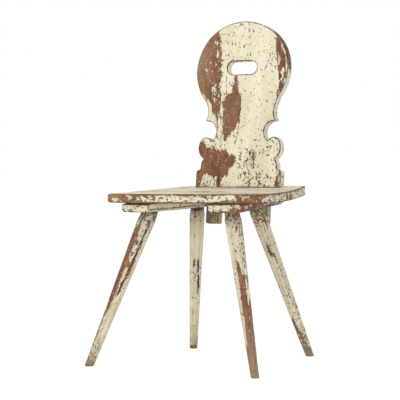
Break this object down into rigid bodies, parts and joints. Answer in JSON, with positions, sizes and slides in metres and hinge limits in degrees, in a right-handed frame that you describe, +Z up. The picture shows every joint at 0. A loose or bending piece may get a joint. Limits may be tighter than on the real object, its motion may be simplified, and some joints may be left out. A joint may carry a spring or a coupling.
{
  "type": "peeling paint chair",
  "caption": "Old wooden plank chair with a sawn scroll back, a hand hole, splayed octagonal legs and peeling cream paint over red-brown undercoat.",
  "frame": {"origin": "on the floor, midway between the four feet, under the middle of the chair's box", "axes": "+Z up, +Y towards the back, +X towards the right for someone looking at the front"},
  "size_m": [0.508, 0.4735, 0.8959],
  "materials": {
    "seat_paint": "worn cream paint with red-brown undercoat and bare wood showing at the edges",
    "back_paint": "cream paint flaked off in large ragged patches to red-brown undercoat",
    "leg_paint": "cracked cream paint, worn to brown at the feet",
    "batten_paint": "thin worn cream paint over brown wood",
    "bare_wood": "bare aged wood"
  },
  "bodies": {
    "root": {"seat": "seat_paint", "left_batten": "batten_paint", "right_batten": "batten_paint", "front_left_leg": "leg_paint", "front_right_leg": "leg_paint", "back_left_leg": "leg_paint", "back_right_leg": "leg_paint", "back": "back_paint", "left_tenon_peg": "bare_wood", "right_tenon_peg": "bare_wood", "front_left_wedge": "bare_wood", "front_right_wedge": "bare_wood", "back_left_wedge": "bare_wood", "back_right_wedge": "bare_wood"}
  },
  "joints": []
}
